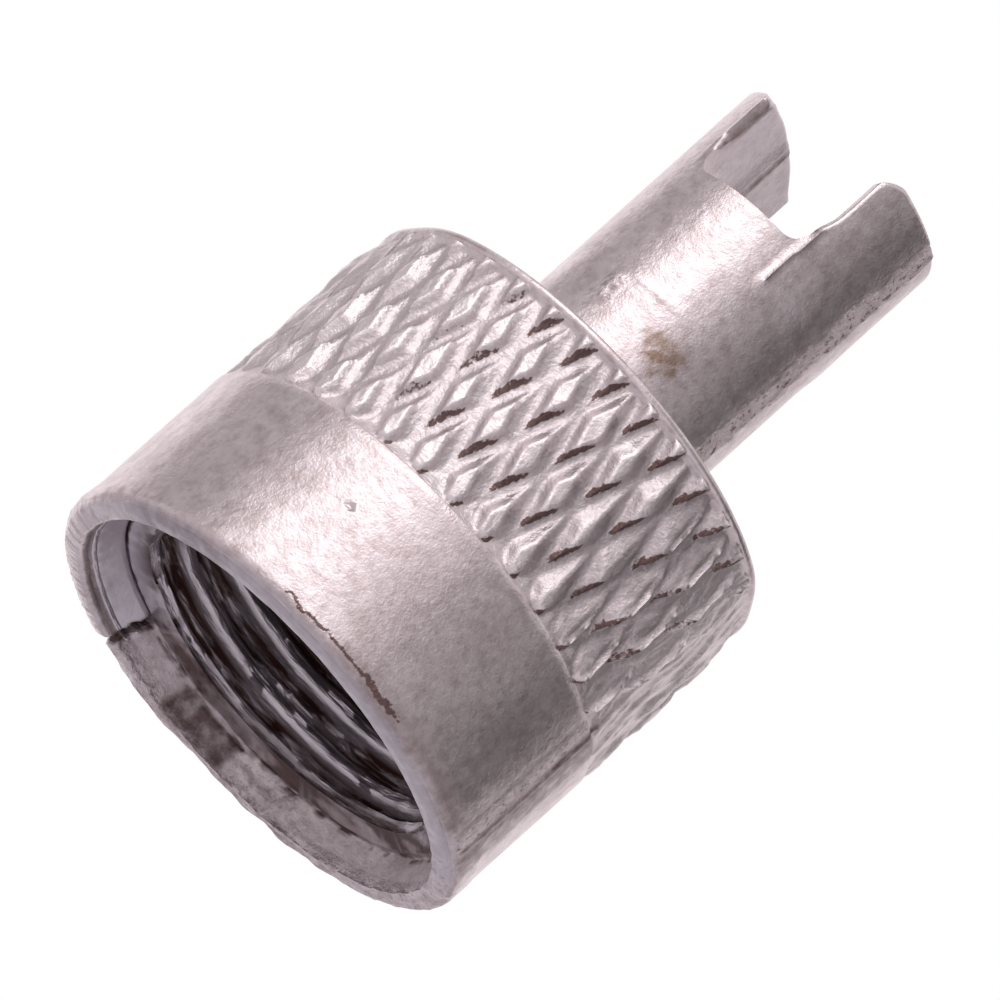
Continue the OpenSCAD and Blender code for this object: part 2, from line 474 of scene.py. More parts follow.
def flank_widths(angle):
    """Widths of a diamond's flanks: lower right, upper right, upper left, lower left.

    The mould half was drawn away sideways, so the flanks that face away from its path are long.
    """
    turn = pull_turn(angle)
    right, left = smooth(turn, 28, 62), smooth(-turn, 5, 50)
    return (0.15 + 0.04 * right + 0.12 * left, 0.28 + 0.2 * right, 0.2 + 0.25 * right + 0.09 * left,
            0.18 + 0.06 * right + 0.06 * left)


def flank_shares(angle, z):
    """How far up each of a diamond's flanks a point lies: 0 at the groove, 1 or more on the top."""
    du, dv, number = knurl_cell(angle, z)
    spread = 1 + 0.18 * DIAMONDS[number][3]
    reaches = (GROOVE_EDGE - dv, GROOVE_EDGE - du, GROOVE_EDGE + dv, GROOVE_EDGE + du)
    return [reach / (width * spread) for reach, width in zip(reaches, flank_widths(angle))]


def nearest_flank(angle, z):
    """Number of the flank that a point lies on or nearest to, in the order of flank_widths."""
    shares = flank_shares(angle, z)
    return shares.index(min(shares))


def knurl_radius(angle, z):
    """Radius of the knurled surface: crossing grooves leave diamonds with small frosted tops.

    Past 48 degrees to the right of the mould's path the metal was dragged into scales.
    """
    du, dv, number = knurl_cell(angle, z)
    height, lean_up, lean_across, _ = DIAMONDS[number]
    turn = pull_turn(angle)
    share = min(flank_shares(angle, z))
    edge = 0.5 * (1 - smooth(turn, 15, 50)) * (1 - smooth(-turn, 20, 50))
    rise = (1 - edge) * chamfer(share) + edge * smooth(share, 0.7, 1)
    faded = fade(angle)
    lean = 0.06 * lean_up * (du - dv) + 0.04 * lean_across * (du + dv)
    top = KNURL_TOP_R - 0.02 - TOP_FADE * faded - 0.02 * smooth(-turn, 30, 60)
    top += 0.015 * height + lean
    groove = KNURL_GROOVE_R + 0.05 + GROOVE_FADE * faded
    groove += 0.75 * (SKIRT_R - 0.05 - groove) * (1 - smooth(z, SKIRT_TOP, SKIRT_TOP + 0.3))
    sway = 0.16 * math.sin(2 * math.pi * (z - ROW_MIDDLE) / DIAMOND_H)
    place = (angle * SKIRT_ARC + sway, z * 0.16, 3.0)
    scale = hump(du + dv + 0.9 * (du - dv) ** 2, 0.42, 0.22)
    scale *= smooth(min(du, dv), -0.35, -0.08)
    drag = smooth(turn, 48, 70) * (0.14 * scale + 0.06 * grain(place, 0.26, 2))
    drag += smooth(-turn, 40, 75) * 0.05 * grain(place, 0.3, 2)
    rough = 0.018 * grain((angle * SKIRT_ARC, z, 5.0), 0.17, 3)
    return groove + (top - groove) * rise + drag + rough


def shape_shoulder(radius, angle, z):
    """The shoulder's corner is worn round on both sides and stands a little proud at the front."""
    turn = turn_in_front(angle)
    worn = within(turn, -150, -75, 25) + 0.9 * within(turn, 78, 150, 22)
    rim = smooth(radius, 4.3, 4.8)
    return (radius - 0.12 * worn * smooth(z, 7.1, SHOULDER_Z) * rim,
            z + 0.04 * within(turn, -60, 60, 20) * smooth(z, 7.9, SHOULDER_Z) * rim)


def seam_height(angle, z):
    """The mould's seam: a thin ragged ridge, and the half behind it a little lower."""
    total = 0.0
    for middle in (0, 180):
        side = apart(angle, middle)
        ridge = 0.035 * hump(side, 0, 1.6) * (0.6 + 0.8 * grain((0, middle, z), 0.35))
        behind = side if middle == 0 else -side
        total += ridge - 0.035 * smooth(behind, 0.4, 1.6) * (1 - smooth(behind, 5, 40))
    return total


def shape_skirt(radius, angle, z):
    """The skirt is nearly round: seams, and faint dents left by the die."""
    dents = 0.012 * grain((angle * SKIRT_ARC, z, 0), 1.4, 2)
    return radius + seam_height(angle, z) + dents


CRACK_ANGLE = CAMERA_TURN - 143.2


def lip_drop(angle):
    """How far the torn lip hangs below the rim's plane, beside the far seam."""
    turn = turn_in_front(angle)
    flash = within(turn, -128, -92, 24) + 0.5 * within(turn, -165, -144, 14)
    lines = 0.02 * grain((angle * SKIRT_ARC, 0, 7), 0.14, 2) * within(turn, -140, -80, 10)
    return 0.18 * min(flash, 1.0) + 0.012 * grain((angle * LIP_ARC, 0, 0), 0.5) + lines


def crack_turn(angle, z):
    """Signed angle from the crack, which wanders on its way up the land."""
    return apart(angle, CRACK_ANGLE + 1.5 * grain((z, 8, 0), 0.22))


def crack_depth(angle, z):
    """How deep the crack cuts at a point of the lip, from 0 to 1."""
    return hump(crack_turn(angle, z), 0, 2.1) * (1 - smooth(z, 0.7, 0.95))


def far_side(angle):
    """1 on the side of the mouth that the photograph looks into, 0 on the near side."""
    return within(turn_behind(angle), -112, 33, 5)


def shape_lip(radius, angle, z):
    """The rim and the land inside it: flash, a crack, a smooth pad and torn metal beside it."""
    turn = turn_in_front(angle)
    low = 1 - smooth(z, 0, 0.7)
    inner = 1 - smooth(radius, 4.44, 4.6)
    new_z = z - lip_drop(angle) * (1 - smooth(z, 0, 0.45)) * smooth(radius, 4.43, 4.5)
    torn = far_side(angle)
    length = angle * LIP_ARC
    new_radius = radius + 0.02 * grain((length, z, 2), 0.35) * low
    spoilt = torn * (0.25 + 0.75 * within(turn_behind(angle), -26, -2, 6))
    coarse, fine = grain((length, z * 2, 4), 0.4), grain((length, z, 8), 0.14)
    new_radius += inner * spoilt * (0.05 * coarse + 0.03 * fine)
    waves = 0.04 * grain((length * 0.5, radius * 4, 3), 0.3) + 0.02
    new_z += torn * smooth(radius, 4.42, 4.48) * low * waves
    pad = within(turn, -140, -82, 5) * within(z, 0.14, 0.72, 0.06) * inner
    new_radius -= (0.03 + 0.11 * z) * pad
    cut = crack_depth(angle, z)
    new_z += 0.2 * cut * (1 - smooth(z, 0, 0.3))
    new_radius += 0.3 * cut * inner * smooth(z, 0.05, 0.2) - 0.16 * cut * smooth(radius, 4.7, 5.0)
    inset = 0.1 * within(turn, -148, -143, 1.5) + 0.05 * within(abs(turn), 165, 180, 8)
    inset -= 0.05 * within(turn, -114, -90, 8)
    new_radius -= inset * smooth(radius, 4.7, 5.0) * (1 - smooth(z, 0.2, 0.7))
    return new_radius, new_z


def shape_step(radius, angle, z):
    """The step behind the land carries a thin raised line."""
    uneven = 1 + 0.6 * grain((angle * STEP_ARC, 1, 5), 0.5)
    return radius, z - 0.05 * hump(radius, STEP_R, 0.12) * uneven


def burr(angle, z):
    """Torn bright ribbon of metal in the thread, and two loose chips beside it."""
    turn = turn_behind(angle)
    length = angle * THREAD_ARC
    middle = 1.8 - 0.006 * turn + 0.05 * grain((length, 0, 9), 0.3)
    torn = 0.9 + 0.5 * grain((length, 3, 3), 0.15)
    ribbon = hump(z, middle, 0.15) * within(turn, -13, 8, 3) * torn
    chips = hump(turn, -25, 4) * hump(z, 1.86, 0.14) + hump(turn, 13, 4) * hump(z, 1.5, 0.16)
    return min(ribbon + chips, 1.2)


def shape_thread(radius, angle, z):
    """The thread is rough: long scratches, a coned first crest, and a torn ribbon in its groove."""
    length = angle * THREAD_ARC
    first = 1 - smooth(z, 1.02, 1.14)
    radius += (CREST_R + 0.04 + 0.16 * (1 - smooth(z, 0.76, 1.08)) - radius) * first
    rough = 0.055 * grain((length * 0.2, z * 1.6, 1), 0.25) + 0.03 * grain((length, z * 2, 6), 0.7)
    ribbon = burr(angle, z)
    return radius - 0.26 * ribbon * smooth(radius, CREST_R, ROOT_R) - 0.04 * ribbon + rough


def fillet_rise(x):
    """Height of the slot's rounded foot above its floor."""
    side = 1 if x > 0 else -1
    fillet = SLOT_FILLET[side]
    inward = fillet - (SLOT_HALF - abs(x))
    if inward <= 0:
        return 0.0
    return fillet - math.sqrt(fillet ** 2 - min(inward, fillet) ** 2)


def shape_slot_height(x, z):
    """Bends the grid's level rows into the slot's foot, and draws the prongs' rows after them."""
    rise = fillet_rise(x)
    bend_start = SLOT_FLOOR - 0.9
    if z <= SLOT_FLOOR + 1e-4:
        return z + rise * max((z - bend_start) / (SLOT_FLOOR - bend_start), 0) ** 2
    return TIP_Z - (TIP_Z - z) * (TIP_Z - SLOT_FLOOR - rise) / (TIP_Z - SLOT_FLOOR)


def shape_prong_edge(x, y, z):
    """Takes the knife edge off each prong's upright edges."""
    strip = 1 - min(max((abs(x) - SLOT_HALF) / WALL_STRIP, 0), 1)
    half_chord = math.sqrt(max(STEM_R ** 2 - x ** 2, 0))
    clipped = half_chord - 0.24 * strip
    share = smooth(z, SLOT_FLOOR + 0.1, SLOT_FLOOR + 0.9)
    limit = half_chord + (clipped - half_chord) * share
    return math.copysign(min(abs(y), limit), y)


def short_metal(x, y):
    """How much lower a prong's tip is where the metal didn't fill the mould."""
    near_corner = 0.16 * (1 - smooth(math.hypot(abs(x) - 1.27, y + 1.85), 0, 0.35))
    if x > 0:
        return 0.27 * (1 - smooth(math.hypot(x - 1.3, y + 2.0), 0.05, 0.7)) + near_corner
    low = 0.08 + 0.25 * (1 - smooth(y, -2.3, -0.3)) + 0.14 * smooth(y, 0.7, 1.8) + near_corner
    return low + 0.02 * grain((x, y, 0), 0.4)


def shape_key(x, y, z):
    """The stem and prongs: slot, mould step, worn edges, seams, a raised bead and a torn flaw."""
    radius, angle = math.hypot(x, y), math.degrees(math.atan2(y, x))
    on_skin = radius > STEM_R - 0.02
    if z > SLOT_FLOOR + 1e-4:
        y = shape_prong_edge(x, y, z)
    if z > SLOT_FLOOR - 0.9:
        z = shape_slot_height(x, z)
    if z > SLOT_FLOOR - 0.05:
        reach = 1 - smooth(abs(x), SLOT_HALF, STEM_R)
        ridge = 0.04 * within(y, 0.0, 0.15, 0.25) if x < 0 and z > SLOT_FLOOR + 0.1 else 0.0
        x += (ridge if x < 0 else MOULD_STEP * (0.4 - smooth(y, 0.2, 0.4))) * reach
    near_tip = smooth(z, TIP_Z - 1.2, TIP_Z)
    z -= short_metal(x, y) * near_tip
    if on_skin:
        grow = 1 + (seam_height(angle, z) + key_marks(angle, z)) / radius
        x, y = x * grow, y * grow
    return x, y, z


def key_marks(angle, z):
    """Marks on the stem: a bead under the right prong, a proud prong, a line and a torn flaw."""
    turn = turn_in_front(angle)
    bead = 0.1 * hump(turn, 9.8, 2.8 if turn < 9.8 else 1.9) * within(z, 12.0, 15.2, 0.1)
    proud = 0.04 * smooth(turn, 9, 13) * (1 - smooth(turn, 95, 120)) * smooth(z, 11.9, 12.6)
    left_edge = 0.03 * hump(turn, -62, 3) * within(z, 13.3, 15, 0.2)
    line = 0.02 * hump(z, 10.37, 0.07) * within(turn, -38, -5, 4)
    flaw_place = hump(turn, -37.5 - 3.5 * (z - 9.9), 5) * within(z, 9.6, 10.2, 0.15)
    flaw = 0.15 * flaw_place * (grain((turn * STEM_ARC, z, 6), 0.2) + 0.2)
    seam_rough = 0.035 * within(turn, 56, 68, 3) * grain((turn * STEM_ARC, z, 2), 0.2)
    return bead + proud + left_edge + line + flaw + seam_rough


def work_surface(bm):
    """Moves every point of the plain casting to where the real surface lies."""
    for vert in bm.verts:
        x, y, z = vert.co
        radius, angle = math.hypot(x, y), math.degrees(math.atan2(y, x))
        if z > SHOULDER_Z + 0.2:
            vert.co = shape_key(x, y, z)
            continue
        new_radius, new_z = radius, z
        if SKIRT_TOP + 0.03 < z < COLLAR_Z - 0.01 and radius > OUTER_WALL_R:
            new_radius, new_z = shape_shoulder(knurl_radius(angle, z), angle, z)
        elif z > COLLAR_Z - 0.02 and radius > 4.2:
            new_radius, new_z = shape_shoulder(radius, angle, z)
        elif z < LAND_TOP + 0.01 and radius > LAND_R - LAND_FLARE - 0.02:
            new_radius, new_z = shape_lip(radius, angle, z)
        elif z < LAND_TOP + 0.01 and radius > STEP_R - 0.1:
            new_radius, new_z = shape_step(radius, angle, z)
        elif z <= SKIRT_TOP and radius > OUTER_WALL_R:
            new_radius = shape_skirt(radius, angle, z)
        elif LAND_TOP + 0.05 < z < THREAD_TOP - 0.05 and radius < 4.0:
            new_radius = shape_thread(radius, angle, z)
        if radius > 1e-6:
            vert.co = (x * new_radius / radius, y * new_radius / radius, new_z)


# Marks that the finish reads, each a share at a point of the plain casting

def dirt_and_shade_mark(radius, angle, z):
    """Brown residue on the far land and lip, at the seams, on the first crest and in the stem's
    flaw; darker on the near rim, past the seam and at the stem's foot; painted shade on the skirt
    above the rim, on the right.
    """
    turn = turn_in_front(angle)
    far_turn = turn_behind(angle)
    seam_top = within(z, 2.6, 3.9, 0.5) * hump(turn, 63, 2.4) * smooth(radius, 4.7, 4.9)
    stain = within(far_turn, -3, 15, 3) * within(z, 0.05, 0.6, 0.1) * mouth_share(radius)
    far_lip = 0.1 * far_side(angle) * (1 - smooth(z, 0.1, 0.3))
    plateau = 0.4 * within(z, 0.78, 1.12, 0.03) * (1 - smooth(radius, 3.7, 3.8))
    plateau *= 1 - within(far_turn, 26, 52, 8)
    rim_shade = 0.5 * within(turn, 8, 52, 8) * (1 - smooth(z, 0.35, 0.7)) * skirt_share(radius)
    past_seam = 0.5 * within(turn, 66.5, 72, 3) * within(z, 0.2, 3.7, 0.1) * skirt_share(radius)
    near_rim = 0.25 + 0.25 * within(turn, -58, -34, 8)
    near_rim *= within(turn, -66, 62, 6) * (1 - smooth(z, 0.05, 0.2)) * smooth(radius, 4.4, 4.5)
    near_foot = 0.7 * hump(z, SHOULDER_Z + 0.06, 0.12) * (1 - smooth(radius, 2.75, 2.85))
    flaw = within(turn, -40, -35, 2.5) * within(z, 9.7, 10.1, 0.1)
    flaw *= smooth(grain((turn * STEM_ARC, z, 9), 0.2), 0.05, 0.3)
    flaw *= 0.8 * stem_share(radius)
    skirt_seam = 0.8 * hump(turn, 63.4, 1.5) * within(z, 0.3, 3.7, 0.1) * skirt_share(radius)
    return max(seam_top, 0.9 * stain, far_lip, near_rim, near_foot, flaw, skirt_seam, plateau,
               rim_shade, past_seam)


def fork_shade(x, y, z):
    """Painted shade on the left prong: in the crease along the parting ridge, and on the bevel of
    its near edge.
    """
    if x > 0 or z < SLOT_FLOOR + 0.05:
        return 0.0
    on_wall = 1 - smooth(-x, SLOT_HALF + 0.02, SLOT_HALF + 0.06)
    # Painted shade in the crease along the parting ridge
    ridge = 0.85 * within(y, 0.1, 0.3, 0.12) * on_wall
    bevel = 0.9 * (1 - smooth(-x, SLOT_HALF + 0.04, SLOT_HALF + 0.1))
    bevel *= smooth(-y, 1.7, 1.9) * smooth(z, 13.2, 13.5)
    return max(ridge, bevel)


def tan_mark(radius, angle, z):
    """A tan stain at the stem's foot."""
    turn = turn_in_front(angle)
    edge = 0.25 * grain((angle * STEM_ARC, z, 12), 0.2)
    reach = math.hypot((turn - 4) * STEM_ARC, (z - 9.6) * 1.3) + edge
    return (1 - smooth(reach, 0.34, 0.6)) if radius < 2.7 else 0.0


def mouth_shade_mark(radius, angle, z):
    """Painted shade in the thread's grooves, growing deeper up the hole, and on the step behind the
    land; darker along the far land's ragged top, at the pad's lower edge, on the first crest and in
    the cracks of the lip.
    """
    turn = turn_in_front(angle)
    in_mouth = mouth_share(radius)
    patch = grain((angle * STEP_ARC, z, 3), 0.5)
    # Painted shade in the thread's grooves, and more of it deeper up the hole
    groove = smooth(radius, CREST_R + 0.03, CREST_R + 0.2) * within(z, 1.12, 6.9, 0.03)
    groove *= thread_share(radius)
    deep = 0.5 * smooth(z, 2.2, 4.2) * thread_share(radius) * (1 - smooth(z, 7.2, 7.4))
    # Painted shade on the step behind the land
    step = within(z, 0.74, 0.8, 0.02) * (1 - smooth(radius, 4.22, 4.26))
    step *= 1 - 0.8 * hump(radius, STEP_R, 0.07)
    far_turn = turn_behind(angle)
    stained = within(far_turn, -4, 30, 6)
    ragged = far_side(angle) * smooth(z + 0.14 * patch + 0.06 * stained, 0.66, 0.71) * in_mouth
    ragged *= 1 - smooth(z, 0.8, 0.9)
    pad_line = within(turn, -141, -84, 3) * hump(z, 0.05, 0.06) * in_mouth
    crack_width = 2.0 + 1.6 * smooth(z, 0.3, 0.7)
    crack = hump(crack_turn(angle, z), 0.5 * patch, crack_width) * (1 - smooth(z, 0.95, 1.2))
    crack = smooth(crack, 0.1, 0.5) * (1 - smooth(radius, 4.75, 4.95))
    plateau = 0.9 * within(far_turn, -66, -38, 7) + 0.35 * within(far_turn, -28, 0, 6)
    plateau *= within(z, 0.78, 1.12, 0.03) * thread_share(radius)
    in_thread = max(groove, deep, plateau) * (1 - 0.9 * min(burr(angle, z), 1.0))
    return max(in_thread, step, ragged, pad_line, crack)


def flank_shade_mark(angle, z):
    """The torn lower right flanks of the diamonds, coloured dark brown: partly painted shade and
    dark reflection, partly brown residue.
    """
    du, dv, _ = knurl_cell(angle, z)
    turn = pull_turn(angle)
    width = flank_widths(angle)[0] * (0.95 - 0.75 * smooth(du, -0.32, 0.3))
    strip = within(dv, GROOVE_EDGE - width, GROOVE_EDGE - 0.03, 0.06)
    ends = within(du, -0.38, 0.12 - 0.1 * smooth(turn, 25, 55), 0.16)
    strip *= (1 - 0.28 * smooth(turn, 50, 74)) * (1 - 0.6 * smooth(turn, 76, 88))
    return strip * ends * (0.1 + 0.82 * smooth(turn, -22, 12))


def rim_tear(radius, angle, z):
    """A dark torn line on the near rim's edge, which ends in a wider patch."""
    turn = turn_in_front(angle)
    length = angle * SKIRT_ARC
    middle = 0.27 + 0.05 * grain((length, 1, 1), 0.3) + 0.05 * grain((length, 4, 1), 0.12)
    width = 0.09 + 0.08 * within(turn, 12, 18, 4) + 0.03 * grain((length, 7, 1), 0.2)
    return 0.95 * hump(z, middle, width) * within(turn, -13, 21, 4) * skirt_share(radius)


def valley_shade_mark(angle, z):
    """Painted shade: the grooves and their flanks are coloured a darker grey than the tops, more
    strongly to the right of the mould's path.
    """
    turn = pull_turn(angle)
    groove_shade_share = (1 - smooth(turn, 74, 88)) * (1 - 0.3 * smooth(-turn, 15, 40))
    groove_shade_share *= 1 - smooth(-turn, 60, 76)
    groove_shade_share *= 0.85 + 0.5 * smooth(turn, 30, 60)
    return groove_shade_share * (1 - smooth(min(flank_shares(angle, z)), 0.72, 0.98))


def calm_mark(radius, angle, z):
    """Metal that is smoother than the rest: the pad, the rim, the slot's walls and the crests."""
    turn = turn_in_front(angle)
    pad = within(turn, -143, -80, 4) * (1 - smooth(radius, 4.42, 4.46)) * within(z, 0.1, 0.76, 0.03)
    rim = (1 - smooth(z, 0.04, 0.14)) * smooth(radius, 4.3, 4.4) * within(turn, -62, 70, 12)
    slot_wall = smooth(z, SLOT_FLOOR + 0.2, SLOT_FLOOR + 0.5) * (1 - smooth(radius, 2.2, 2.3))
    crest = within(z, 0.78, 7, 0.02) * thread_share(radius)
    return max(pad, 0.8 * rim, 0.4 * slot_wall, 0.6 * crest)


def torn_mark(radius, angle, z):
    """Pitted metal: along the near seam, in the stem's flaw, on the far lip and on the burr."""
    turn = turn_in_front(angle)
    far_turn = turn_behind(angle)
    on_stem = stem_share(radius) * smooth(z, 8.1, 8.3)
    seam = within(turn + 4 * grain((0, 5, z), 0.6), 57, 65, 5) * on_stem
    skirt_seam = 0.8 * within(turn, 60, 66, 4) * skirt_share(radius) * within(z, 0.2, 3.7, 0.1)
    flaw = 0.5 * within(turn, -41, -34, 3) * within(z, 9.6, 10.2, 0.12) * on_stem
    lip = 0.5 * far_side(angle) * (1 - smooth(z, 0.1, 0.3))
    spots = 0.35 * within(far_turn, -24, -5, 4) * (1 - smooth(z, 0.55, 0.7)) * mouth_share(radius)
    return max(seam, skirt_seam, flaw, lip, spots, 0.3 * burr(angle, z) if radius < 4.0 else 0.0)


def dull_mark(radius, angle, z):
    """The land inside the far lip, where the plate has a dull bloom."""
    on_land = (1 - smooth(radius, 4.5, 4.56)) * smooth(z, 0.03, 0.1) * (1 - smooth(z, 0.7, 0.76))
    return far_side(angle) * on_land


MARKS = ("dirt_and_shade", "mouth_shade", "tan", "torn", "flank", "valley_shade", "grip", "calm", "dull")


def mark_surface(bm):
    """Writes the marks to the mesh's points, from their places on the plain casting."""
    layers = {name: bm.verts.layers.float.new(name) for name in MARKS}
    for vert in bm.verts:
        radius, angle = vert.co.xy.length, math.degrees(math.atan2(vert.co.y, vert.co.x))
        z = vert.co.z
        in_knurl = SKIRT_TOP < z < COLLAR_Z and radius > OUTER_WALL_R
        vert[layers["dirt_and_shade"]] = max(dirt_and_shade_mark(radius, angle, z), fork_shade(vert.co.x, vert.co.y, z))
        vert[layers["tan"]] = tan_mark(radius, angle, z)
        vert[layers["mouth_shade"]] = mouth_shade_mark(radius, angle, z)
        vert[layers["torn"]] = torn_mark(radius, angle, z)
        vert[layers["flank"]] = flank_shade_mark(angle, z) if in_knurl else rim_tear(radius, angle, z)
        vert[layers["valley_shade"]] = valley_shade_mark(angle, z) if in_knurl else 0.0
        vert[layers["grip"]] = 1.0 if in_knurl else 0.0
        vert[layers["calm"]] = calm_mark(radius, angle, z)
        vert[layers["dull"]] = dull_mark(radius, angle, z)


def seal():
    """The rubber ring, moulded with small rounds on its edges."""
    bm = bmesh.new()
    inner, outer, low, high = 1.3, RING_HIGH.x / MM, RING_LOW.z / MM, BLIND_TOP
    edge, bend = 0.12, 0.04
    wire(bm, [
        (inner, high - edge, 0),
        (inner, low + edge, 3),
        (inner + bend, low + bend, 1),
        (inner + edge, low, 1),
        (outer - edge, low, 4),
        (outer - bend, low + bend, 1),
        (outer, low + edge, 1),
        (outer, high - edge, 3),
        (outer - edge, high, 1),
        (inner + edge, high, 4),
        (inner, high - edge, 1),
    ])
    turn_round(bm, 24, 5)
    return bm


# Materials

# Place of the one small pit on the skirt, in metres
SKIRT_PIT = tuple(MM * value for value in (0.653, -4.957, 2.3))
# Numbers of a colour mix node's sockets: its two colours going in, and the mixed one coming out
MIX_FIRST, MIX_SECOND, MIXED = 6, 7, 2


def linear(code):
    """Linear colour of an sRGB hex code."""
    def channel(value):
        return value / 12.92 if value <= 0.04045 else ((value + 0.055) / 1.055) ** 2.4
    return (*(channel(int(code[i:i + 2], 16) / 255) for i in (1, 3, 5)), 1.0)


def node(tree, kind, settings=None, inputs=None):
    """Adds a node, sets its properties, and fills its inputs.

    An input takes a value, another node's output, or a colour's hex code.
    """
    made = tree.nodes.new(kind)
    for name, value in (settings or {}).items():
        setattr(made, name, value)
    for name, value in (inputs or {}).items():
        if isinstance(value, bpy.types.NodeSocket):
            tree.links.new(value, made.inputs[name])
        else:
            made.inputs[name].default_value = linear(value) if isinstance(value, str) else value
    return made


def math_node(tree, operation, first, second, clamp=False):
    """Output of a new math node."""
    return node(tree, "ShaderNodeMath", {"operation": operation, "use_clamp": clamp},
                {0: first, 1: second}).outputs[0]


def mix_node(tree, share, first, second):
    """Output of a new colour mix node."""
    return node(tree, "ShaderNodeMix", {"data_type": "RGBA"},
                {0: share, MIX_FIRST: first, MIX_SECOND: second}).outputs[MIXED]


def ramp_node(tree, value, low, high, to_low=0.0, to_high=1.0):
    """Output of a new node that eases from to_low to to_high as the value goes from low to high."""
    return node(tree, "ShaderNodeMapRange", {"interpolation_type": "SMOOTHSTEP"}, {
        "Value": value, "From Min": low, "From Max": high, "To Min": to_low,
        "To Max": to_high}).outputs[0]


def new_tree(name):
    """A new material and its empty node tree."""
    material = bpy.data.materials.new(name)
    material.use_nodes = True
    material.node_tree.nodes.clear()
    return material, material.node_tree


def plated_zinc():
    """Zinc under satin nickel plate: a pinkish grey metal, frosted by the mould's grain."""
    material, tree = new_tree("satin_nickel_plated_zinc")
    place = node(tree, "ShaderNodeTexCoord").outputs["Object"]
    marks = {name: node(tree, "ShaderNodeAttribute", {"attribute_name": name}).outputs["Fac"]
             for name in MARKS}

    def noise_of(size_mm, detail, vector=place):
        return node(tree, "ShaderNodeTexNoise", None, {
            "Vector": vector, "Scale": 1 / (size_mm * MM), "Detail": detail,
            "Roughness": 0.55}).outputs["Fac"]

    def math_of(operation, first, second, clamp=False):
        return math_node(tree, operation, first, second, clamp)

    def times(first, second, clamp=False):
        return math_of("MULTIPLY", first, second, clamp)

    def ramp(value, *ends):
        return ramp_node(tree, value, *ends)

    def mix(share, first, second):
        return mix_node(tree, share, first, second)

    # Colour: pinkish grey nickel in cloudy patches, paler on the knurl's tops, with painted shade
    # in its grooves;
    # brown residue where it gathers, with painted shade on the skirt's lower right and on the left
    # prong; a tan stain on the stem; dark torn flanks, partly painted shade and dark reflection,
    # partly brown residue; and painted shade in the thread's grooves, deeper up the hole and on the
    # step
    clouds = noise_of(1.6, 3)
    patches = noise_of(0.25, 4)
    metal = mix(ramp(clouds, 0.35, 0.65), "#DBD0D2", "#EAE0E2")
    metal = mix(ramp(noise_of(0.35, 4), 0.42, 0.68, 0.0, 0.6), metal, "#C6B8B7")
    metal = mix(ramp(noise_of(0.15, 4), 0.46, 0.7, 0.0, 0.3), metal, "#AB9794")
    metal = mix(times(marks["grip"], 0.7), metal, "#F4ECED")
    # Painted shade: the knurl's grooves and flanks coloured darker grey
    metal = mix(times(marks["valley_shade"], 0.42), metal, "#A99EA1")
    metal = mix(marks["calm"], metal, "#DAD3DA")
    broken = ramp(patches, 0.25, 0.65, 0.45, 1.0)
    holes = times(marks["torn"], ramp(noise_of(0.12, 3), 0.55, 0.64, 0.0, 0.7))
    dirt_and_shade = math_of("MAXIMUM", times(marks["dirt_and_shade"], broken, True), holes, True)
    shreds = noise_of(0.09, 2)
    shredded = math_of("ADD", marks["flank"], times(shreds, 1.2))
    flank = ramp(shredded, 1.04, 1.3, 0.0, 0.88)
    stretch = {"Vector": place, "Scale": (0.12, 0.12, 1.0)}
    drawn = node(tree, "ShaderNodeMapping", None, stretch).outputs[0]
    streaks = ramp(noise_of(0.12, 3, drawn), 0.36, 0.56, 0.3, 1.0)
    mouth_shade = times(marks["mouth_shade"], streaks, True)
    tan = times(marks["tan"], ramp(patches, 0.3, 0.6, 0.2, 1.0), True)
    # Dark brown lower right flanks: partly painted shade and dark reflection, partly brown residue
    colour = mix(flank, metal, "#62463F")
    colour = mix(tan, colour, "#A28C7E")
    # Brown residue where it gathers, with painted shade on the skirt's lower right and on the left
    # prong
    colour = mix(dirt_and_shade, colour, "#6B5350")
    # Painted shade in the mouth, streaked along the thread
    colour = mix(mouth_shade, colour, "#452821")

    # Relief: orange peel of 0.12 to 0.4 mm, finer grit on it, frost on the knurl, drawn lines in
    # the mouth, teeth on the torn flanks, pitted metal, and the skirt's one pit
    unevenness = ramp(marks["calm"], 0.0, 1.0, 1.0, 0.3)
    swell = times(noise_of(0.4, 2), unevenness)
    peel = times(noise_of(0.12, 3), unevenness)
    grit = times(noise_of(0.05, 2), unevenness)
    drawn_part = times(ramp(marks["calm"], 0.45, 0.6), ramp(marks["calm"], 0.75, 0.95, 1.0, 0.0))
    lines = times(noise_of(0.07, 2, drawn), drawn_part)
    teeth = times(math_of("SUBTRACT", shreds, 0.5), marks["flank"])
    pitted = times(noise_of(0.2, 3), marks["torn"])
    away = node(tree, "ShaderNodeVectorMath", {"operation": "DISTANCE"},
                {0: place, 1: SKIRT_PIT}).outputs["Value"]
    pit = math_of("ADD", away, times(noise_of(0.16, 1), 0.26 * MM))
    frost = times(noise_of(0.08, 2), marks["grip"])
    hollow = ramp(pit, 0.06 * MM, 0.28 * MM)
    below = {}
    for height, depth_mm in ((swell, 0.014), (peel, 0.009), (grit, 0.007), (frost, 0.014),
                             (lines, 0.03), (teeth, 0.04), (pitted, 0.11), (hollow, 0.045)):
        bump = node(tree, "ShaderNodeBump", None, {
            "Strength": 1.0, "Distance": depth_mm * MM, "Height": height, **below})
        below = {"Normal": bump.outputs[0]}

    # Gloss: satin plate, duller where it is dirty, under the painted shade, and where it is worn,
    # torn or bloomed
    roughness = ramp(patches, 0.2, 0.8, 0.26, 0.34)
    for mark, duller in ((dirt_and_shade, 0.25), (marks["calm"], 0.05), (marks["grip"], 0.1),
                         (marks["torn"], 0.25), (marks["dull"], 0.25)):
        roughness = math_of("ADD", roughness, times(mark, duller), True)
